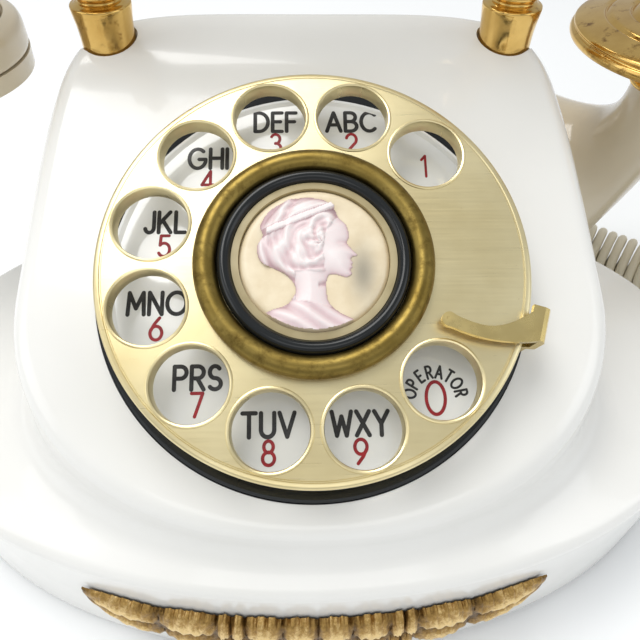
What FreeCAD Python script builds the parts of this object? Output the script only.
"""Bedroom telephone: oval base with a wedge-shaped pedestal, rotary dial, cradle posts, arched handset.

Frame: millimetres, +Z up. The origin is the centre of the oval footprint on the table. The front, where
the dial faces, is -Y, and +X is the right-hand side of somebody sitting in front of it.
"""
import FreeCAD, Part

import math
import os

from FreeCAD import Vector as V

# ---------------------------------------------------------------- driving dimensions
WALL = 2.5                     # moulded shell
OVAL_A = 94.0                  # half-width of the oval flange
OVAL_B = 58.5                  # half-depth of the oval flange
SKIRT_FLARE = 0.5              # the skirt is this much wider at the table
HOUSING_BOTTOM = 1.0           # the feet lift the shell off the table
FLANGE_EDGE_Z = 32.0
FLANGE_FOOT_Z = 36.0           # where the flange meets the pedestal
PED_HALF_WIDTH = 55.6          # at the height of the dial
PED_SIDE_DRAFT = 0.105         # widening per millimetre downwards
PED_FRONT = 40.7               # from the dial axis to the front of the pedestal
PED_REAR = 63.8                # from the dial axis to the rear of the pedestal, at the crest
PED_END_DRAFT = 0.055
FRONT_POWER = 2.15             # superellipse exponents of the pedestal outline
REAR_POWER = 4.5
CREST_Z = 89.8                 # level crest between the posts
CREST_SOFT = 5.0               # height over which the slope turns into the crest
EDGE_R = 3.5                   # flange edge
FILLET_R = 11.0                # flange to pedestal
SHOULDER_R = 4.5               # top edge of the pedestal
RING_POINTS = 48               # points on each section of the shell
OPENING_LIP = 2.0              # the moulded face runs this far into the dial opening before it is cut

DIAL_Y, DIAL_Z = -16.0, 73.0   # centre of the finger wheel's upper face
DIAL_SLOPE = 28.0              # degrees from level
FACE_DEPTH = 9.0               # shell's face below the finger wheel
OPENING_R = 40.5
WHEEL_R = 38.0
WHEEL_T = 1.2
HOLE_CIRCLE_R = 29.47
HOLE_R = 6.5
HOLE_FIRST_DEG = 45.0
HOLE_STEP_DEG = 30.0
PLATE_Z = -8.2                 # number plate's upper face in the dial frame
STOP_DEG = -17.0               # direction of the finger stop

GEAR_MODULE_1, MAIN_TEETH, PULSE_TEETH = 0.7, 66, 16
GEAR_MODULE_2, SECOND_TEETH, GOVERNOR_TEETH = 0.5, 48, 14
PRESSURE_ANGLE = math.radians(20)

POST_X, POST_Y, COLLAR_Z = 42.4, 38.0, 89.8
COLLAR_FOOT = 2.6              # how far the collar of a post reaches down into its recess
POST_HEIGHT = 23.0
ROD_R = 3.5
BAR_Z = 63.0                   # underside of the plunger bar with the handset on the cradle
SPRING_X, SHELF_Z = 31.0, 38.0
LEVER_Y, LEVER_Z = 27.0, 54.0  # hook lever's pivot

HANDLE_Y = 38.0
HANDLE_TOP = 131.0
HANDLE_END_Z = 103.0
HANDLE_SQUARENESS = 0.55       # 1 is a half ellipse, lower is a flatter arch
SADDLE_GAP = 0.7               # between a cradle fork and the handle
EAR_X = -82.0
MOUTH_X = 83.0
DISC_R = 25.0
DISC_Z = 86.5
HORN_R = 22.0
HORN_RIM = V(75.3, 56.7, 44.7)
HORN_AXIS = V(-0.74, 0.35, -0.57).normalize()
BOOT_X, BOOT_Y = 99.0, 43.0    # cord boot under the gold disc
CORD_Z = 11.0                  # cord entry at the rear
CORD_R = 8.5                   # outside of the coils
JACK_X = -36.0

PLATE_BOTTOM, PLATE_TOP = 1.5, 3.0
GONG_X, GONG_Y, GONG_R = 21.5, 24.0, 18.5
LOUDNESS_X, LOUDNESS_Y, LOUDNESS_Z = 29.0, -15.0, 7.0
GARLAND_HALF = 44.0            # half-length of the ornament on the skirt

SLOPE = math.radians(DIAL_SLOPE)
FACE_Y = DIAL_Y + FACE_DEPTH * math.sin(SLOPE)
FACE_Z = DIAL_Z - FACE_DEPTH * math.cos(SLOPE)
PARTS = {}


# ---------------------------------------------------------------- small helpers
def cylinder(radius, z0, z1, x=0.0, y=0.0):
    return Part.makeCylinder(radius, z1 - z0, V(x, y, z0))


def tube(outer, inner, z0, z1, x=0.0, y=0.0):
    return cylinder(outer, z0, z1, x, y).cut(cylinder(inner, z0 - 1, z1 + 1, x, y))


def box(x0, x1, y0, y1, z0, z1):
    return Part.makeBox(x1 - x0, y1 - y0, z1 - z0, V(x0, y0, z0))


def join(shapes):
    first, rest = shapes[0], shapes[1:]
    return first.fuse(rest).removeSplitter() if rest else first


def turned(profile, x=0.0, y=0.0):
    """Solid of revolution about a vertical axis at x, y; profile is a closed list of (radius, z)."""
    points = [V(r, 0, z) for r, z in profile]
    face = Part.Face(Part.makePolygon(points + points[:1]))
    solid = face.revolve(V(0, 0, 0), V(0, 0, 1), 360)
    solid.translate(V(x, y, 0))
    return solid


def prism(points, z0, z1):
    """Straight prism on a closed outline of (x, y)."""
    outline = [V(x, y, z0) for x, y in points]
    return Part.Face(Part.makePolygon(outline + outline[:1])).extrude(V(0, 0, z1 - z0))


def in_dial_frame(shape):
    """Moves a shape built round the dial's axis (z outward, y up the slope) to its place on the pedestal."""
    moved = shape.copy()
    moved.rotate(V(0, 0, 0), V(1, 0, 0), DIAL_SLOPE)
    moved.translate(V(0, DIAL_Y, DIAL_Z))
    return moved


def along(shape, base, direction):
    """Moves a shape built on the +Z axis so that +Z becomes direction and the origin becomes base."""
    moved = shape.copy()
    moved.Placement = FreeCAD.Placement(base, FreeCAD.Rotation(V(0, 0, 1), direction))
    return moved


def circle_wire(centre, normal, radius):
    return Part.Wire(Part.Circle(centre, normal, radius).toShape())


def save(name, shape):
    PARTS[name] = shape


# ---------------------------------------------------------------- the moulded shell
def face_height(y):
    """Height of the pedestal's top: the dial slope, turning smoothly into the level crest."""
    sloped = FACE_Z + (y - FACE_Y) * math.tan(SLOPE)
    overlap = max(0.0, CREST_SOFT - abs(sloped - CREST_Z))
    return min(sloped, CREST_Z) - overlap ** 2 / (4 * CREST_SOFT)


def oval_radius(c, s, grow):
    """Distance from the dial axis to the oval flange edge in the direction (c, s)."""
    a, b = OVAL_A + grow, OVAL_B + grow
    k2 = (c / a) ** 2 + (s / b) ** 2
    k1 = FACE_Y * s / b ** 2
    k0 = (FACE_Y / b) ** 2 - 1
    return (-k1 + math.sqrt(k1 * k1 - k2 * k0)) / k2


def pedestal_radius(c, s, z, grow):
    """Distance from the dial axis to the pedestal wall at height z in the direction (c, s)."""
    a = PED_HALF_WIDTH + (FACE_Z - z) * PED_SIDE_DRAFT + grow
    if s < 0:
        b, power = PED_FRONT + (FLANGE_FOOT_Z - z) * PED_END_DRAFT + grow, FRONT_POWER
    else:
        b, power = PED_REAR + (CREST_Z - z) * PED_END_DRAFT + grow, REAR_POWER
    return (abs(c / a) ** power + abs(s / b) ** power) ** (-1 / power)


def rounded(before, corner, after, radius, limit_in, limit_out, count):
    """Points on an arc that rounds a corner of a (r, z) outline, tangent to both sides."""
    ux, uz = corner[0] - before[0], corner[1] - before[1]
    wx, wz = after[0] - corner[0], after[1] - corner[1]
    lu, lw = math.hypot(ux, uz), math.hypot(wx, wz)
    ux, uz, wx, wz = ux / lu, uz / lu, wx / lw, wz / lw
    turn = math.atan2(ux * wz - uz * wx, ux * wx + uz * wz)
    reach = min(radius * abs(math.tan(turn / 2)), limit_in * lu, limit_out * lw)
    radius = reach / abs(math.tan(turn / 2))
    side = 1 if turn > 0 else -1
    start = (corner[0] - ux * reach, corner[1] - uz * reach)
    centre = (start[0] - uz * radius * side, start[1] + ux * radius * side)
    points = []
    for k in range(count):
        angle = turn * k / (count - 1)
        dx, dz = start[0] - centre[0], start[1] - centre[1]
        points.append((centre[0] + dx * math.cos(angle) - dz * math.sin(angle),
                       centre[1] + dx * math.sin(angle) + dz * math.cos(angle)))
    return points, reach


def shell_profile(angle, inset, bottom):
    """Outline of the shell in the vertical plane through the dial axis point, as a list of (r, z)."""
    c, s = math.cos(angle), math.sin(angle)
    drop = inset / math.cos(SLOPE)
    skirt = (oval_radius(c, s, SKIRT_FLARE - inset), bottom)
    edge = (oval_radius(c, s, -inset), FLANGE_EDGE_Z - inset)
    foot = (pedestal_radius(c, s, FLANGE_FOOT_Z, -inset), FLANGE_FOOT_Z - inset)
    top_z = FACE_Z
    for _ in range(8):
        top_r = pedestal_radius(c, s, top_z, -inset)
        top_z = face_height(FACE_Y + top_r * s) - drop
    top = (top_r, top_z)
    opening_r = 1 / math.hypot(c / OPENING_R, s / (OPENING_R * math.cos(SLOPE))) - OPENING_LIP
    near_z = face_height(FACE_Y + (top_r - 0.5) * s) - drop
    inward = (top_r - 20, top_z + (near_z - top_z) * 40)
    face_share = 0.4 * (top_r - opening_r) / math.hypot(20, inward[1] - top_z)
    edge_rings, _ = rounded(skirt, edge, foot, max(EDGE_R - inset, 1.2), 0.5, 0.4, 6)
    foot_rings, _ = rounded(edge, foot, top, FILLET_R + inset, 0.5, 0.5, 8)
    top_rings, _ = rounded(foot, top, inward, max(SHOULDER_R - inset, 1.5), 0.4, face_share, 7)
    start_r = top_rings[-1][0]
    face_rings = []
    for k in range(1, 6):
        r = start_r + (opening_r - start_r) * k / 5
        face_rings.append((r, face_height(FACE_Y + r * s) - drop))
    return [skirt] + edge_rings + foot_rings + top_rings + face_rings


def shell_solid(inset, bottom):
    profiles = []
    for k in range(RING_POINTS):
        angle = 2 * math.pi * k / RING_POINTS
        c, s = math.cos(angle), math.sin(angle)
        profiles.append([V(r * c, FACE_Y + r * s, z) for r, z in shell_profile(angle, inset, bottom)])
    wires = []
    for ring in zip(*profiles):
        curve = Part.BSplineCurve()
        curve.interpolate(Points=list(ring), PeriodicFlag=True)
        wires.append(Part.Wire(curve.toShape()))
    return Part.makeLoft(wires, True, True)


def boss_places():
    return [(66.0, 20.0), (-66.0, 20.0), (66.0, -20.0), (-66.0, -20.0)]


def housing():
    outer = shell_solid(0.0, HOUSING_BOTTOM)
    inner = shell_solid(WALL, HOUSING_BOTTOM - 1.0)
    shell = outer.cut(inner)
    shell = shell.cut(in_dial_frame(cylinder(OPENING_R, -30, 30)))
    bosses = [tube(4.5, 1.45, PLATE_TOP + 0.1, 34, x, y) for x, y in boss_places()]
    guides = [cylinder(7.0, 73, CREST_Z - 1.2, x, POST_Y) for x in (-POST_X, POST_X)]
    shell = shell.fuse([b.common(outer) for b in bosses + guides])
    for x in (-POST_X, POST_X):
        shell = shell.cut(cylinder(ROD_R + 0.7, 60, 74, x, POST_Y))
        shell = shell.cut(cylinder(5.0, 70, 95, x, POST_Y))
        shell = shell.cut(cylinder(6.1, COLLAR_Z - COLLAR_FOOT - 0.3, 100, x, POST_Y))
    shell = shell.cut(box(JACK_X - 7.2, JACK_X + 7.2, 45, 65, 5.8, 16.2))
    shell = shell.cut(Part.makeCylinder(4.6, 20, V(0, 50, CORD_Z), V(0, 1, 0)))
    return shell



def oval_plate(grow, z0, z1):
    curve = Part.Ellipse(V(0, 0, z0), OVAL_A + grow, OVAL_B + grow)
    return Part.Face(Part.Wire(curve.toShape())).extrude(V(0, 0, z1 - z0))


def foot_places():
    return [(52.0, 30.0), (-52.0, 30.0), (52.0, -30.0), (-52.0, -30.0)]


def base_parts():
    plate = oval_plate(-WALL - 0.6, PLATE_BOTTOM, PLATE_TOP)
    for x, y in boss_places():
        plate = plate.cut(cylinder(1.6, 0, 5, x, y))
    for x, y in foot_places():
        plate = plate.cut(cylinder(2.1, 0, 5, x, y))
    x, y, z = LOUDNESS_X, LOUDNESS_Y, LOUDNESS_Z
    plate = plate.cut(box(x - 5.2, x + 5.2, y - 1.3, y + 1.3, 0, 5))
    bearings = [box(x - 2, x + 2, side, side + 1, PLATE_TOP, z + 2.2) for side in (y - 2.7, y + 1.7)]
    plate = join([plate] + bearings)
    save("base_plate", plate.cut(Part.makeCylinder(1.05, 8, V(x, y - 4, z), V(0, 1, 0))))
    feet = []
    for x, y in foot_places():
        foot = turned([(0, 0), (6.2, 0), (7.0, 0.8), (6.6, PLATE_BOTTOM), (2.0, PLATE_BOTTOM),
                       (2.0, PLATE_TOP), (2.9, PLATE_TOP), (1.6, PLATE_TOP + 1.8), (0, PLATE_TOP + 1.8)], x, y)
        feet.append(foot)
    middle_pad = cylinder(6.2, 0, PLATE_BOTTOM)
    save("rubber_feet", Part.makeCompound(feet + [middle_pad]))
    screws = []
    for x, y in boss_places():
        head = turned([(0, 0.5), (1.8, 0.5), (2.9, 0.9), (2.9, PLATE_BOTTOM), (1.4, PLATE_BOTTOM),
                       (1.4, 14), (0, 15.2)], x, y)
        screws.append(head.cut(box(x - 0.4, x + 0.4, y - 3, y + 3, 0, 0.9)))
    save("base_screws", Part.makeCompound(screws))


# ---------------------------------------------------------------- garland on the skirt
def skirt_depth(x):
    """Distance of the oval skirt from the X axis, in front of the phone."""
    return (OVAL_B + SKIRT_FLARE) * math.sqrt(1 - (x / (OVAL_A + SKIRT_FLARE)) ** 2)


def scallop(x):
    """Relief of the garland, 0 in the grooves and 1 on the lobes: petals, two rolls a side, long leaves."""
    grooves = (0.0, 6.6, 13.6, 16.2, 18.8, 30.0, GARLAND_HALF)
    distance = abs(x)
    for low, high in zip(grooves, grooves[1:]):
        if low <= distance <= high:
            return math.sin(math.pi * (distance - low) / (high - low)) ** 0.6
    return 0.0


def ornament():
    """Symmetric cast garland: petals in the middle, long leaves towards pointed tips, bent round the skirt."""
    steps = 132
    xs = [GARLAND_HALF * (2 * k / steps - 1) for k in range(steps + 1)]
    front, top, bottom = [], [], []
    for x in xs:
        taper = math.sqrt(max(0.0, 1 - (abs(x) / (GARLAND_HALF + 1.5)) ** 3))
        front.append((x, -skirt_depth(x) - 0.5 - taper * (1.4 + 1.5 * scallop(x))))
        top.append((x, 0, 17.5 + taper * (5.2 + 1.2 * scallop(x))))
        bottom.append((x, 0, 15.5 - taper * (6.5 + 1.6 * scallop(x))))
    plan = prism(front + [(GARLAND_HALF, -30), (-GARLAND_HALF, -30)], 4, 28)
    outline = [V(*p) for p in top + bottom[::-1]]
    silhouette = Part.Face(Part.makePolygon(outline + outline[:1])).extrude(V(0, -80, 0))
    core = oval_plate(SKIRT_FLARE + 0.1, 0, 40)
    save("front_ornament", plan.common(silhouette).cut(core))


# ---------------------------------------------------------------- gears
def gear(module, teeth, z0, z1, bore, turn_deg):
    """Involute spur gear with one tooth centred on the angle turn_deg."""
    pitch = module * teeth / 2
    base = pitch * math.cos(PRESSURE_ANGLE)
    tip, root = pitch + 0.8 * module, pitch - 1.1 * module
    backlash = 0.12 * module
    half = math.pi / (2 * teeth) - backlash / (2 * pitch) + math.tan(PRESSURE_ANGLE) - PRESSURE_ANGLE

    def flank(radius):
        pressure = math.acos(min(1.0, base / radius))
        return half - (math.tan(pressure) - pressure)

    radii = [max(base, root) + (tip - max(base, root)) * k / 5 for k in range(6)]
    side = [(root, flank(max(base, root)))] if root < base else []
    side += [(r, flank(r)) for r in radii]
    points = []
    for tooth in range(teeth):
        middle = math.radians(turn_deg) + 2 * math.pi * tooth / teeth
        for r, offset in side:
            points.append((r * math.cos(middle - offset), r * math.sin(middle - offset)))
        for r, offset in reversed(side):
            points.append((r * math.cos(middle + offset), r * math.sin(middle + offset)))
    wheel = prism(points, z0, z1)
    return wheel.cut(cylinder(bore, z0 - 1, z1 + 1)) if bore else wheel


def shifted(shape, x, y):
    moved = shape.copy()
    moved.translate(V(x, y, 0))
    return moved


PULSE_AXIS_R = GEAR_MODULE_1 * (MAIN_TEETH + PULSE_TEETH) / 2
PULSE_AT = (0.0, PULSE_AXIS_R)
GOVERNOR_AXIS_R = GEAR_MODULE_2 * (SECOND_TEETH + GOVERNOR_TEETH) / 2
GOVERNOR_DEG = 215.0
GOVERNOR_AT = (GOVERNOR_AXIS_R * math.cos(math.radians(GOVERNOR_DEG)),
               PULSE_AXIS_R + GOVERNOR_AXIS_R * math.sin(math.radians(GOVERNOR_DEG)))


def ring_of_holes(count, radius, hole, first_deg, z0, z1, step_deg=None):
    step = step_deg or 360.0 / count
    holes = []
    for k in range(count):
        angle = math.radians(first_deg + step * k)
        holes.append(cylinder(hole, z0, z1, radius * math.cos(angle), radius * math.sin(angle)))
    return holes


def finger_wheel():
    """Disc with a rolled edge and ten finger holes whose rims are drawn down into short walls."""
    wheel = turned([(9.2, -WHEEL_T), (35.4, -WHEEL_T), (35.4, -2.4), (37.2, -2.4), (WHEEL_R, -1.6),
                    (WHEEL_R, -0.7), (WHEEL_R - 0.6, 0), (9.2, 0)])
    walls = ring_of_holes(10, HOLE_CIRCLE_R, HOLE_R + 0.6, HOLE_FIRST_DEG, -3.0, -0.6, HOLE_STEP_DEG)
    wheel = wheel.fuse(walls)
    wheel = wheel.cut(ring_of_holes(10, HOLE_CIRCLE_R, HOLE_R, HOLE_FIRST_DEG, -9, 5, HOLE_STEP_DEG))
    rims = []
    for k in range(10):
        angle = math.radians(HOLE_FIRST_DEG + HOLE_STEP_DEG * k)
        cone = turned([(0, -0.8), (HOLE_R - 0.1, -0.8), (HOLE_R + 0.6, 0.05), (0, 0.05)])
        rims.append(shifted(cone, HOLE_CIRCLE_R * math.cos(angle), HOLE_CIRCLE_R * math.sin(angle)))
    return wheel.cut(rims)


def medallion_parts():
    ring = [(18.7 + 2.0 * math.cos(math.radians(a)), 1.45 + 2.0 * math.sin(math.radians(a)))
            for a in range(-45, 226, 15)]
    save("medallion_ring", in_dial_frame(turned([(17.0, 0.05), (20.4, 0.05)] + ring[1:-1])))
    bead = [(15.45 + 1.2 * math.cos(math.radians(a)), 1.6 + 1.3 * math.sin(math.radians(a)))
            for a in range(0, 181, 15)]
    save("medallion_bezel", in_dial_frame(turned([(14.25, 0.05), (16.65, 0.05)] + bead[1:-1])))
    save("medallion_inlay", in_dial_frame(turned([(12.95, 0.05), (14.2, 0.05), (14.2, 1.9), (12.95, 2.1)])))
    save("cameo_disc", in_dial_frame(turned([(0, 0.05), (12.9, 0.05), (12.9, 1.9), (0, 2.1)])))
    head = Part.makeSphere(1.0)
    sizes = [((0.6, 3.2, 2.1), (5.2, 6.0, 1.2)), ((-1.6, 5.0, 2.1), (5.4, 5.0, 1.3)),
             ((-0.8, -3.4, 2.1), (2.6, 4.0, 0.9)), ((-1.0, -7.6, 2.1), (7.2, 3.4, 0.9))]
    lumps = []
    for centre, size in sizes:
        matrix = FreeCAD.Matrix()
        matrix.scale(V(*size))
        matrix.move(V(*centre))
        lumps.append(head.transformGeometry(matrix))
    relief = join(lumps).common(turned([(0, 2.12), (12.4, 2.12), (12.4, 4), (0, 4)]))
    save("cameo_relief", in_dial_frame(relief))


PILLAR_DEGS = (20, 160, 235, 305)


def pillar_holes():
    return [cylinder(1.2, -30, 0, 32 * math.cos(math.radians(a)), 32 * math.sin(math.radians(a)))
            for a in PILLAR_DEGS]


def dial_fixed_parts():
    ring = turned([(29.0, -12.0), (39.0, -12.0), (OPENING_R - 0.25, -10.6), (OPENING_R - 0.25, -8.6),
                   (OPENING_R - 0.8, -8.2), (38.3, -8.4), (38.1, -9.3), (29.0, -9.3)])
    save("dial_ring", in_dial_frame(ring))
    plate = turned([(10.5, PLATE_Z - 1), (38.0, PLATE_Z - 1), (38.0, PLATE_Z + 0.1), (37.4, PLATE_Z + 0.3),
                    (36.6, PLATE_Z), (10.5, PLATE_Z)])
    save("number_plate", in_dial_frame(plate))
    front = cylinder(35.5, -13.6, -12.1).cut(cylinder(3.05, -20, 0))
    front = front.cut(cylinder(1.05, -20, 0, *PULSE_AT)).cut(pillar_holes())
    save("dial_front_plate", in_dial_frame(front))
    rear = cylinder(35.5, -24.0, -22.5).cut(cylinder(3.05, -30, 0))
    rear = rear.cut(cylinder(1.05, -30, 0, *PULSE_AT)).cut(cylinder(1.05, -30, 0, *GOVERNOR_AT))
    rear = rear.cut(pillar_holes())
    save("dial_rear_plate", in_dial_frame(rear))
    pillars = []
    for a in PILLAR_DEGS:
        x, y = 32 * math.cos(math.radians(a)), 32 * math.sin(math.radians(a))
        pillar = turned([(0, -25.4), (2.2, -25.4), (2.6, -24.8), (2.6, -24.0), (1.2, -24.0), (1.2, -22.5),
                         (2.0, -22.5), (2.0, -13.6), (1.2, -13.6), (1.2, -12.1), (0, -12.1)], x, y)
        pillars.append(pillar.cut(box(x - 0.3, x + 0.3, y - 3, y + 3, -26, -25.0)))
    save("dial_pillars", in_dial_frame(Part.makeCompound(pillars)))
    x, y = GOVERNOR_AT
    cup = turned([(1.1, -31.0), (8.5, -31.0), (8.5, -24.0), (7.7, -24.0), (7.7, -30.2), (1.1, -30.2)], x, y)
    save("governor_cup", in_dial_frame(cup))
    save("return_spring", in_dial_frame(spiral_spring()))
    save("pulse_contacts", in_dial_frame(pulse_contacts()))


def spiral_spring():
    """Flat spiral of four and a half turns round the spindle."""
    inner, pitch, turns, thick = 5.0, 1.5, 4.5, 0.45
    steps = int(turns * 20)
    outer_side, inner_side = [], []
    for k in range(steps + 1):
        angle = 2 * math.pi * turns * k / steps
        radius = inner + pitch * angle / (2 * math.pi)
        outer_side.append(((radius + thick) * math.cos(angle), (radius + thick) * math.sin(angle)))
        inner_side.append((radius * math.cos(angle), radius * math.sin(angle)))
    return prism(outer_side + inner_side[::-1], -21.6, -18.2)


def pulse_contacts():
    """Pile of three contact blades on an insulating block, beside the pulse cam."""
    x0, y0 = PULSE_AT[0] + 11.0, PULSE_AT[1] - 20.0
    block = box(x0 + 2.6, x0 + 11.4, y0 - 6, y0, -22.4, -18.8)
    blades = [box(x0 + 4.0 + 2.4 * k, x0 + 4.4 + 2.4 * k, y0, y0 + 15 - k, -22.2, -21.0) for k in range(3)]
    return join([block] + blades)


def finger_stop():
    """Folded strip: a foot on the dial ring, a bend round the wheel's rim and a curved arm over the wheel."""
    side = [(38.4, -8.15), (39.5, -8.15), (39.5, -3.9), (40.7, -2.8), (40.7, 1.6), (40.3, 2.4), (39.5, 2.8),
            (37.5, 2.8), (37.5, 1.7), (39.1, 1.7), (39.6, 1.2), (39.6, -2.4), (38.4, -3.5)]
    outline = [V(x, -3.6, z) for x, z in side]
    leg = Part.Face(Part.makePolygon(outline + outline[:1])).extrude(V(0, 5.9, 0))
    tip_x, tip_y, tip_r, root_x, dip_x = 24.4, -4.1, 1.25, 39.3, 29.5
    points = []
    for k in range(13):
        angle = math.radians(90 + 15 * k)
        points.append((tip_x + tip_r * math.cos(angle), tip_y + tip_r * math.sin(angle)))
    for k in range(1, 15):
        x = tip_x + (root_x - tip_x) * k / 14
        points.append((x, -5.7 + 0.02 * (x - dip_x) ** 2))
    for k in range(14, 0, -1):
        x = tip_x + (root_x - tip_x) * k / 14
        points.append((x, min(2.3, -3.6 + (0.072 if x > dip_x else 0.025) * (x - dip_x) ** 2)))
    stop = join([leg, prism(points, 1.7, 2.8)])
    stop.rotate(V(0, 0, 0), V(0, 0, 1), STOP_DEG)
    return in_dial_frame(stop)


def dial_moving_parts():
    save("finger_wheel", in_dial_frame(finger_wheel()))
    medallion_parts()
    hub = turned([(0, -26.5), (2.96, -26.5), (2.96, -11.8), (4.5, -11.8), (4.5, -8.0), (8.8, -8.0),
                  (8.8, -WHEEL_T), (9.1, -WHEEL_T), (9.1, 0), (0, 0)])
    save("dial_spindle", in_dial_frame(hub))
    main = gear(GEAR_MODULE_1, MAIN_TEETH, -17.0, -15.5, 2.96, 90.0)
    windows = ring_of_holes(5, 13.5, 4.2, 18, -20, 0)
    save("main_gear", in_dial_frame(main.cut(windows)))
    pinion = gear(GEAR_MODULE_1, PULSE_TEETH, -17.2, -15.3, 0, 270.0 + 180.0 / PULSE_TEETH)
    second = gear(GEAR_MODULE_2, SECOND_TEETH, -20.5, -19.5, 0, GOVERNOR_DEG)
    shaft = cylinder(1.0, -24.8, -12.3)
    core = cylinder(3.0, -19.6, -17.1)
    cam_points = []
    for k in range(72):
        angle = 2 * math.pi * k / 72
        radius = 4.2 + 1.6 * max(0.0, math.cos(2 * angle)) ** 2
        cam_points.append((radius * math.cos(angle), radius * math.sin(angle)))
    cam = prism(cam_points, -22.1, -20.4)
    save("pulse_gear", in_dial_frame(shifted(join([pinion, second, shaft, core, cam]), *PULSE_AT)))
    meshing = GOVERNOR_DEG + 180 + 180.0 / GOVERNOR_TEETH
    rotor_pinion = gear(GEAR_MODULE_2, GOVERNOR_TEETH, -20.7, -19.3, 0, meshing)
    rotor_shaft = cylinder(1.0, -31.8, -18.6)
    arm = box(-6.8, 6.8, -1.4, 1.4, -28.6, -26.4)
    weights = [cylinder(2.2, -29.0, -26.0, sx * 5.0, 0) for sx in (-1, 1)]
    rotor = join([rotor_pinion, rotor_shaft, arm] + weights)
    save("governor_rotor", in_dial_frame(shifted(rotor, *GOVERNOR_AT)))


# ---------------------------------------------------------------- brackets, ringer, network
def dial_bracket():
    """Two sheet legs on the base plate carry the dial ring from below."""
    solids = []
    top = []
    for y in (-13.5, 13.5):
        top.append((DIAL_Y + y * math.cos(SLOPE) + 12.05 * math.sin(SLOPE),
                    DIAL_Z + y * math.sin(SLOPE) - 12.05 * math.cos(SLOPE)))
    for sx in (-1, 1):
        points = [V(sx * 36.4, top[0][0], PLATE_TOP), V(sx * 36.4, top[1][0], PLATE_TOP),
                  V(sx * 36.4, top[1][0], top[1][1]), V(sx * 36.4, top[0][0], top[0][1])]
        leg = Part.Face(Part.makePolygon(points + points[:1])).extrude(V(sx * 1.4, 0, 0))
        left, right = sorted((sx * 36.4, sx * 46.0))
        foot = box(left, right, top[0][0], top[1][0], PLATE_TOP, PLATE_TOP + 1.4)
        window = Part.makeCylinder(7, 4, V(sx * 37 - 2, (top[0][0] + top[1][0]) / 2, 20), V(1, 0, 0))
        solids.append(leg.fuse(foot).removeSplitter().cut(window))
    return Part.makeCompound(solids)


def dome(radius, height):
    """Quarter ellipse from the top of a gong to its rim."""
    return [(radius * math.sin(math.radians(a)), 11 + height * math.cos(math.radians(a)))
            for a in range(0, 91, 9)]


def ringer_parts():
    floor = box(-14, 14, -6, 6, PLATE_TOP, PLATE_TOP + 1.5)
    sides = [box(x, x + 1.5, -6, 6, PLATE_TOP, 21) for x in (-14.0, 12.5)]
    lugs = [box(x, x + 1.5, -1.5, 1.5, 20, 22.6) for x in (-14.0, 12.5)]
    strap = box(-14, 14, -1.5, 1.5, 21.6, 22.6)
    pivot = cylinder(0.95, 18.8, 21.6)
    save("ringer_frame", join([floor, strap, pivot] + sides + lugs))
    coils = []
    for x in (-6.2, 6.2):
        coil = turned([(0, 6.0), (5.8, 6.0), (5.8, 7.0), (5.0, 7.0), (5.0, 17.0), (5.8, 17.0),
                       (5.8, 18.0), (0, 18.0)])
        coils.append(shifted(coil, x, 0))
    save("ringer_coils", Part.makeCompound(coils))
    for name, sx in (("gong_left", -1), ("gong_right", 1)):
        gong = turned(dome(GONG_R, 11.0) + dome(GONG_R - 1, 10.0)[::-1])
        gong = gong.cut(cylinder(1.6, 0, 40))
        save(name, shifted(gong, sx * GONG_X, GONG_Y))
    posts = []
    for sx in (-1, 1):
        post = turned([(0, PLATE_TOP), (4, PLATE_TOP), (4, 20.4), (1.5, 20.4),
                       (1.5, 22.1), (3.4, 22.1), (3.0, 23.8), (0, 23.8)])
        posts.append(shifted(post, sx * GONG_X, GONG_Y))
    save("gong_screws", Part.makeCompound(posts))
    arm = box(-0.8, 0.8, 6.5, 18.0, 13.0, 14.2)
    ball = Part.makeSphere(2.0, V(0, 19.0, 13.6))
    armature = box(-11.0, 11.0, -2.4, 2.4, 18.6, 20.2)
    stem = box(-0.8, 0.8, 2.2, 7.3, 18.6, 20.2)
    riser = box(-0.8, 0.8, 6.5, 7.3, 13.0, 20.2)
    boss = cylinder(1.8, 18.6, 21.2)
    clapper = join([arm, ball, armature, stem, riser, boss])
    save("clapper", clapper.cut(cylinder(1.0, 18, 22)))
    save("loudness_wheel", loudness_wheel())


def loudness_wheel():
    """Knurled thumb wheel that shows through a slot in the base plate, with its axle."""
    x, y, z = LOUDNESS_X, LOUDNESS_Y, LOUDNESS_Z
    wheel = Part.makeCylinder(5.4, 2.0, V(x, y - 1, z), V(0, 1, 0))
    flutes = []
    for k in range(16):
        angle = k * math.pi / 8
        foot = V(x + 5.6 * math.cos(angle), y - 1.5, z + 5.6 * math.sin(angle))
        flutes.append(Part.makeCylinder(0.7, 3, foot, V(0, 1, 0)))
    return wheel.cut(flutes).fuse(Part.makeCylinder(1.0, 6.0, V(x, y - 3, z), V(0, 1, 0)))


def network_parts():
    body = box(47, 75, -10, 12, PLATE_TOP, 19)
    save("network_block", body.makeFillet(1.2, [e for e in body.Edges if abs(e.Vertexes[0].Z - 19) < 0.1
                                               and abs(e.Vertexes[-1].Z - 19) < 0.1]))
    screws = []
    for ix in range(4):
        for iy in range(2):
            x, y = 51 + 6.6 * ix, -6 + 14 * iy
            head = cylinder(2.1, 19.0, 20.8, x, y)
            screws.append(head.cut(box(x - 2.5, x + 2.5, y - 0.3, y + 0.3, 20.2, 22)))
    save("terminal_screws", Part.makeCompound(screws))
    capacitor = Part.makeCylinder(6.5, 30, V(-77, -8, PLATE_TOP + 6.6), V(1, 0, 0))
    rims = [edge for edge in capacitor.Edges if isinstance(edge.Curve, Part.Circle)]
    save("capacitor", capacitor.makeFillet(1.0, rims))


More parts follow.
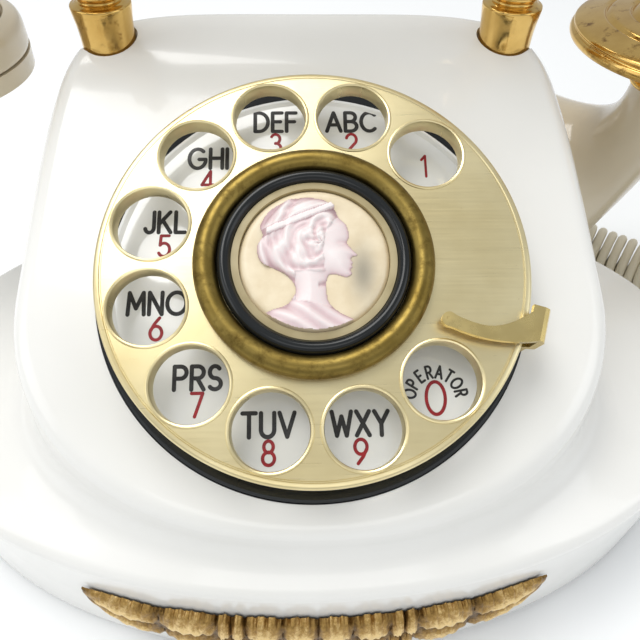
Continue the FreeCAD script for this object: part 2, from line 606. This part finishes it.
# ---------------------------------------------------------------- cradle and hook switch
def post(sx):
    """Turned gold post: plain collar, groove with a bead, vase and neck, on the plunger rod."""
    profile = [(0, 66.0), (ROD_R, 66.0), (ROD_R, COLLAR_Z - COLLAR_FOOT), (5.6, COLLAR_Z - COLLAR_FOOT),
               (5.75, COLLAR_Z + 0.4), (6.25, COLLAR_Z + 5.8), (5.9, COLLAR_Z + 6.8), (5.0, COLLAR_Z + 7.3), (4.6, COLLAR_Z + 7.9),
               (5.0, COLLAR_Z + 8.4), (5.0, COLLAR_Z + 9.0), (4.4, COLLAR_Z + 9.5), (4.6, COLLAR_Z + 10.2),
               (6.2, COLLAR_Z + 11.4), (7.2, COLLAR_Z + 13.4), (7.0, COLLAR_Z + 15.6), (5.4, COLLAR_Z + 17.8),
               (3.8, COLLAR_Z + 19.4), (3.4, COLLAR_Z + 21.0), (4.6, COLLAR_Z + 22.0),
               (4.6, COLLAR_Z + POST_HEIGHT), (0, COLLAR_Z + POST_HEIGHT)]
    return turned(profile, sx * POST_X, POST_Y)


def fork(sx):
    """Saddle under the handle: a half ring with two raised horns, front and back."""
    x = sx * POST_X
    base_z = COLLAR_Z + POST_HEIGHT
    axis_z = handle_height(x)
    inner = handle_radius_at_x(x) + SADDLE_GAP
    outer = inner + 2.4
    ring = Part.makeCylinder(outer, 8, V(x - 4, POST_Y, axis_z), V(1, 0, 0))
    ring = ring.cut(Part.makeCylinder(inner, 12, V(x - 6, POST_Y, axis_z), V(1, 0, 0)))
    ring = ring.cut(box(x - 10, x + 10, POST_Y - 30, POST_Y + 30, axis_z + 1.5, axis_z + 40))
    stem = cylinder(3.6, base_z, axis_z - inner - 1.2, x, POST_Y)
    horns = [Part.makeSphere(2.2, V(x, POST_Y + sy * (inner + 1.75), axis_z + 2.2)) for sy in (-1, 1)]
    solid = join([ring, stem] + horns)
    return solid.cut(Part.makeCylinder(inner, 12, V(x - 6, POST_Y, axis_z), V(1, 0, 0)))


def cradle_parts():
    for name, sx in (("left", -1), ("right", 1)):
        save("cradle_post_" + name, post(sx))
        save("cradle_fork_" + name, fork(sx))
    bar = box(-POST_X - 2.1, POST_X + 2.1, POST_Y - 1.8, POST_Y + 1.6, BAR_Z, BAR_Z + 3.0)
    save("plunger_bar", bar)
    bushes = [tube(4.95, ROD_R + 0.05, 74.0, COLLAR_Z - COLLAR_FOOT - 0.6, x, POST_Y) for x in (-POST_X, POST_X)]
    save("cradle_bushes", Part.makeCompound(bushes))
    save("hook_switch_frame", hook_switch_frame())
    hub = Part.makeCylinder(3.0, 3, V(37.5, LEVER_Y, LEVER_Z), V(1, 0, 0))
    arm = box(37.5, 40.5, LEVER_Y, 40.5, LEVER_Z - 1.4, LEVER_Z + 1.4)
    finger = box(37.5, 40.5, 38.0, 40.5, LEVER_Z - 1.4, BAR_Z - 0.4)
    lever = join([hub, arm, finger])
    save("hook_lever", lever.cut(Part.makeCylinder(1.25, 8, V(35, LEVER_Y, LEVER_Z), V(1, 0, 0))))
    block = box(36.0, 42.3, 20.5, 24.5, SHELF_Z, SHELF_Z + 9)
    blades = [box(36.0, 41.8, 21.0, 33.0, SHELF_Z + 2 + 2.4 * k, SHELF_Z + 2.4 + 2.4 * k) for k in range(3)]
    save("hook_contacts", join([block] + blades))
    save("cradle_spring", cradle_spring())


def hook_switch_frame():
    """Bent sheet standing on the base plate: an upright, the lever's pivot pin and a shelf for the spring."""
    upright = box(42.4, 44.0, 20.0, 34.0, PLATE_TOP, 60.0)
    foot = box(30.0, 44.0, 20.0, 34.0, PLATE_TOP, PLATE_TOP + 1.5)
    pin = Part.makeCylinder(1.2, 7.4, V(36.4, LEVER_Y, LEVER_Z), V(1, 0, 0))
    shelf = box(SPRING_X - 5, 44.0, 20.0, 43.0, SHELF_Z - 1.6, SHELF_Z)
    seat = cylinder(2.4, SHELF_Z, SHELF_Z + 8, SPRING_X, POST_Y)
    return join([upright, foot, pin, shelf, seat])


def cradle_spring():
    """Compression spring between the shelf and the plunger bar."""
    turns, radius, wire = 9, 3.4, 0.5
    length = BAR_Z - SHELF_Z - 2 * wire - 0.2
    helix = Part.makeHelix(length / turns, length, radius)
    section = circle_wire(V(radius, 0, 0), V(0, 1, 0), wire)
    spring = Part.Wire(helix).makePipeShell([section], True, True)
    spring.translate(V(SPRING_X, POST_Y, SHELF_Z + wire + 0.1))
    return spring


# ---------------------------------------------------------------- handset
def handle_path(t):
    """Centre line of the grip for t from 0 (ear end) to 1 (mouth end): an arch with rounded shoulders."""
    half = (MOUTH_X - EAR_X) / 2
    middle = (MOUTH_X + EAR_X) / 2
    angle = math.pi * (1 - t)
    c, s = math.cos(angle), math.sin(angle)
    x = middle + half * math.copysign(abs(c) ** HANDLE_SQUARENESS, c)
    z = HANDLE_END_Z + (HANDLE_TOP - HANDLE_END_Z) * abs(s) ** HANDLE_SQUARENESS
    return V(x, HANDLE_Y, z)


def handle_height(x):
    half = (MOUTH_X - EAR_X) / 2
    middle = (MOUTH_X + EAR_X) / 2
    c = (abs(x - middle) / half) ** (1 / HANDLE_SQUARENESS)
    return HANDLE_END_Z + (HANDLE_TOP - HANDLE_END_Z) * (1 - c * c) ** (HANDLE_SQUARENESS / 2)


def handle_radius_at_x(x):
    return 9.4 - 2.6 * (abs(x) / 80.0) ** 2


def handle_parts():
    sections = []
    count = 25
    for k in range(count):
        t = k / (count - 1)
        here = handle_path(t)
        before, after = handle_path(max(0.0, t - 0.004)), handle_path(min(1.0, t + 0.004))
        direction = V(0, 0, 1) if k == 0 else V(0, 0, -1) if k == count - 1 else (after - before).normalize()
        sections.append(circle_wire(here, direction, handle_radius_at_x(here.x)))
    save("handle", Part.makeLoft(sections, True, False))
    rims = [6.8, 8.2, 8.2, 7.2, 8.8, 8.8, 7.0]
    ferrules = []
    for x, low in ((EAR_X, 98.0), (MOUTH_X, 97.0)):
        step = (HANDLE_END_Z - low) / (len(rims) - 1)
        outline = [(0, low)] + [(r, low + step * k) for k, r in enumerate(rims)] + [(0, HANDLE_END_Z)]
        ferrules.append(turned(outline, x, HANDLE_Y))
    save("handle_ferrules", Part.makeCompound(ferrules))


def ear_parts():
    cup = turned([(19.0, 85.0), (20.6, 85.0), (21.0, 86.0), (21.0, 90.0), (20.4, 91.6), (18.6, 92.6),
                  (17.5, 92.6), (17.5, 91.4), (18.9, 90.4), (19.0, 89.0)], EAR_X, HANDLE_Y)
    save("ear_cup", cup)
    dome = turned([(0, 98.0), (7.5, 98.0), (10.0, 97.4), (14.5, 96.0), (16.8, 94.2), (17.3, 92.6), (17.3, 91.6),
                   (15.5, 91.6), (13.6, 93.4), (9.0, 95.4), (0, 95.8)], EAR_X, HANDLE_Y)
    save("ear_dome", dome)
    cap = turned([(0, 82.4), (9.0, 81.8), (15.0, 80.8), (19.0, 80.2), (20.8, 81.2), (21.0, 84.9), (18.8, 84.9),
                  (18.4, 83.6), (0, 83.9)], EAR_X, HANDLE_Y)
    holes = ring_of_holes(6, 5.0, 1.1, 0, 70, 90) + [cylinder(1.1, 70, 90)]
    save("ear_cap", cap.cut([shifted(hole, EAR_X, HANDLE_Y) for hole in holes]))
    capsule = [(0, 84.2), (14.0, 84.2), (15.0, 85.0), (15.0, 90.0), (12.0, 91.0), (0, 91.0)]
    save("receiver_capsule", turned(capsule, EAR_X, HANDLE_Y))


def horn_centre(t):
    """Cubic centre line of the horn from the neck (t = 0) to the rim (t = 1)."""
    p0 = V(MOUTH_X, HANDLE_Y, DISC_Z - 8.5)
    p1 = p0 + V(0, 0, -10)
    p3 = HORN_RIM
    p2 = p3 - HORN_AXIS * 17
    a, b, c, d = (1 - t) ** 3, 3 * t * (1 - t) ** 2, 3 * t * t * (1 - t), t ** 3
    return p0 * a + p1 * b + p2 * c + p3 * d


def horn_radius(t):
    return 7.6 + 1.2 * t + (HORN_R - 8.8) * t ** 3.2


def horn_solid(shrink):
    wires = []
    count = 13
    for k in range(count):
        t = k / (count - 1)
        direction = horn_centre(min(1, t + 0.01)) - horn_centre(max(0, t - 0.01))
        if k == count - 1:
            direction = HORN_AXIS
        wires.append(circle_wire(horn_centre(t), direction.normalize(), horn_radius(t) - shrink))
    return Part.makeLoft(wires, True, False)


def mouth_parts():
    z = DISC_Z
    disc = turned([(0, z), (19.0, z), (21.0, z + 0.4), (24.2, z + 0.6), (24.8, z + 1.2), (DISC_R, z + 2.2),
                   (24.8, z + 3.0), (24.2, z + 3.0), (24.2, z + 3.5), (24.6, z + 3.8), (24.0, z + 4.6),
                   (18.8, z + 5.8), (18.0, z + 5.4), (17.2, z + 6.0), (13.6, z + 6.6), (13.0, z + 6.2),
                   (12.2, z + 7.0), (9.5, z + 8.6), (7.0, z + 10.5), (0, z + 10.5)], MOUTH_X, HANDLE_Y)
    save("mouth_disc", disc)
    neck = turned([(0, z - 8.4), (8.2, z - 8.4), (8.6, z - 7.8), (8.2, z - 7.2), (7.0, z - 6.4), (6.6, z - 4.0),
                   (7.4, z - 2.2), (9.4, z - 1.4), (9.6, z - 0.6), (9.0, z), (0, z)], MOUTH_X, HANDLE_Y)
    save("mouth_neck", neck)
    save("mouth_horn", horn_solid(0.0).cut(horn_solid(2.0)).fuse(horn_plug()))
    cap = turned([(0, 3.6), (9.0, 3.0), (16.0, 1.8), (19.4, 2.2), (21.8, 3.6), (22.6, 2.4), (22.6, 0.6),
                  (22.2, 0.1), (0, 0.1)])
    holes = ring_of_holes(6, 5.0, 1.2, 0, -5, 10) + ring_of_holes(12, 10.0, 1.2, 15, -5, 10)
    holes.append(cylinder(1.2, -5, 10))
    save("mouth_cap", along(cap.cut(holes), HORN_RIM, HORN_AXIS))
    capsule = turned([(0, -5.0), (10.5, -5.0), (12.0, -4.0), (12.0, -0.3), (0, -0.3)])
    save("transmitter_capsule", along(capsule, HORN_RIM, HORN_AXIS))
    boot = [(0, z - 12.0), (3.4, z - 12.0), (4.8, z - 1.6), (5.4, z - 0.6), (5.4, z), (0, z)]
    save("cord_boot", turned(boot, BOOT_X, BOOT_Y))


def horn_plug():
    """Solid end where the neck screws in."""
    start = horn_centre(0)
    return cylinder(horn_radius(0) - 0.5, start.z - 3.0, start.z, start.x, start.y)


def cord_path():
    """Centre line of the coiled cord: from the boot down to the table, round behind the base to its grommet."""
    rest = CORD_R + 0.6
    points = [V(BOOT_X, BOOT_Y, DISC_Z - 12.1), V(104, 42, 60), V(113, 38, 38), V(117, 36, 22),
              V(114, 44, rest + 2.5), V(104, 54, rest + 0.3), V(88, 65.5, rest), V(66, 73, rest),
              V(40, 77, rest), V(14, 77, rest + 0.6), V(1.5, 72.5, CORD_Z - 0.4), V(0, 67.2, CORD_Z)]
    path = Part.BSplineCurve()
    path.interpolate(Points=points, InitialTangent=V(0, 0, -1), FinalTangent=V(0, -1, 0))
    return path


def cord_parts():
    """The coiled cord as one closed bar, its entry grommet, and the line jack beside it."""
    path = cord_path()
    count = 40
    sections = []
    for k in range(count + 1):
        u = path.FirstParameter + (path.LastParameter - path.FirstParameter) * k / count
        direction = V(*path.tangent(u)[0])
        share = min(k, count - k) / count
        radius = 2.4 + (CORD_R - 2.4) * min(1.0, max(0.0, (share - 0.02) / 0.08))
        sections.append(circle_wire(path.value(u), direction, radius))
    save("handset_cord", Part.makeLoft(sections, True, False))
    grommet = Part.makeCylinder(4.4, 8.0, V(0, 52.4, CORD_Z), V(0, 1, 0))
    collar = Part.makeCylinder(6.0, 1.5, V(0, 59.2, CORD_Z), V(0, 1, 0))
    sleeve = Part.makeCone(4.2, 3.0, 6.4, V(0, 60.7, CORD_Z), V(0, 1, 0))
    save("cord_grommet", join([grommet, collar, sleeve]))
    save("line_jack", line_jack())


def line_jack():
    """Square socket for a flat modular line plug, with four contact wires."""
    x = JACK_X
    jack = box(x - 7, x + 7, 41.5, 52.5, 6.0, 16.0)
    mouth = box(x - 4.8, x + 4.8, 45, 60, 8.0, 14.0).fuse(box(x - 2, x + 2, 45, 60, 6.9, 9))
    pins = [box(x - 2.4 + 1.3 * k, x - 2.0 + 1.3 * k, 44.5, 50, 12.6, 12.9) for k in range(4)]
    return jack.cut(mouth).fuse(pins)


# ---------------------------------------------------------------- build everything
def main():
    save("housing", housing())
    base_parts()
    ornament()
    dial_fixed_parts()
    save("finger_stop", finger_stop())
    dial_moving_parts()
    save("dial_bracket", dial_bracket())
    ringer_parts()
    network_parts()
    cradle_parts()
    handle_parts()
    ear_parts()
    mouth_parts()
    cord_parts()
    os.makedirs("parts", exist_ok=True)
    for name, shape in PARTS.items():
        shape.exportStep(os.path.join("parts", name + ".step"))


main()
